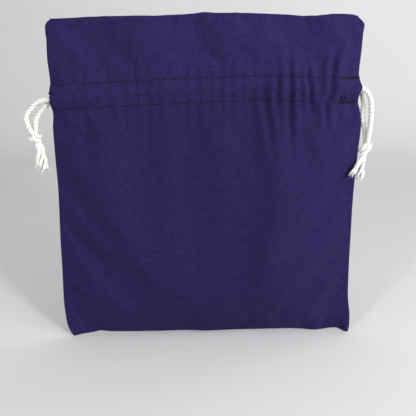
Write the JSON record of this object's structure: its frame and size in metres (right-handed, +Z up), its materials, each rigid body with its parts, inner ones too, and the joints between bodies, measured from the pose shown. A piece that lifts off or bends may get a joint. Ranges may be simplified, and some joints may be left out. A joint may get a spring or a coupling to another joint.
{
  "type": "drawstring bag",
  "caption": "cloth drawstring pouch for dice, with a stitched casing and a looped, knotted cord leaving each side gap",
  "frame": {"origin": "middle of the bottom edge, on the surface the bag stands on", "axes": "+Z up to the mouth, +X to the right seen from the front, the front panel faces -Y"},
  "size_m": [0.1907, 0.0258, 0.178],
  "materials": {
    "cloth": "matte",
    "thread": "matte",
    "cord": "matte"
  },
  "bodies": {
    "bag": {"front_panel": "cloth", "back_panel": "cloth", "front_upper_row": "thread", "front_upper_backstitch": "thread", "front_lower_row": "thread", "front_lower_backstitch": "thread", "back_upper_row": "thread", "back_upper_backstitch": "thread", "back_lower_row": "thread", "back_lower_backstitch": "thread", "left_seam_thread": "thread", "right_seam_thread": "thread", "bottom_seam_thread": "thread", "left_cord_far_bend": "cord", "right_cord_far_bend": "cord"},
    "left_cord": {"left_cord_front_run": "cord", "left_cord_back_run": "cord"},
    "left_loop": {"left_cord_front_strand": "cord", "left_cord_back_strand": "cord"},
    "left_knot": {"left_cord_knot": "cord", "left_cord_tails": "cord"},
    "right_cord": {"right_cord_front_run": "cord", "right_cord_back_run": "cord"},
    "right_loop": {"right_cord_front_strand": "cord", "right_cord_back_strand": "cord"},
    "right_knot": {"right_cord_knot": "cord", "right_cord_tails": "cord"}
  },
  "joints": [
    {"name": "left_cord_pull", "type": "slide", "parent": "bag", "child": "left_cord", "axis": [-1, 0, 0], "range_m": [0, 0.055]},
    {"name": "left_loop_swing", "type": "hinge", "parent": "left_cord", "child": "left_loop", "pos_m": [-0.08475, 0, 0.13705], "axis": [0, 1, 0], "range_deg": [0, 85]},
    {"name": "left_knot_swing", "type": "hinge", "parent": "left_loop", "child": "left_knot", "pos_m": [-0.0938, 0, 0.1162], "axis": [-1, 0, 0], "range_deg": [-60, 60]},
    {"name": "right_cord_pull", "type": "slide", "parent": "bag", "child": "right_cord", "axis": [1, 0, 0], "range_m": [0, 0.055]},
    {"name": "right_loop_swing", "type": "hinge", "parent": "right_cord", "child": "right_loop", "pos_m": [0.08475, 0, 0.14025], "axis": [0, -1, 0], "range_deg": [0, 85]},
    {"name": "right_knot_swing", "type": "hinge", "parent": "right_loop", "child": "right_knot", "pos_m": [0.0884, 0, 0.107], "axis": [-1, 0, 0], "range_deg": [0, 45]}
  ]
}
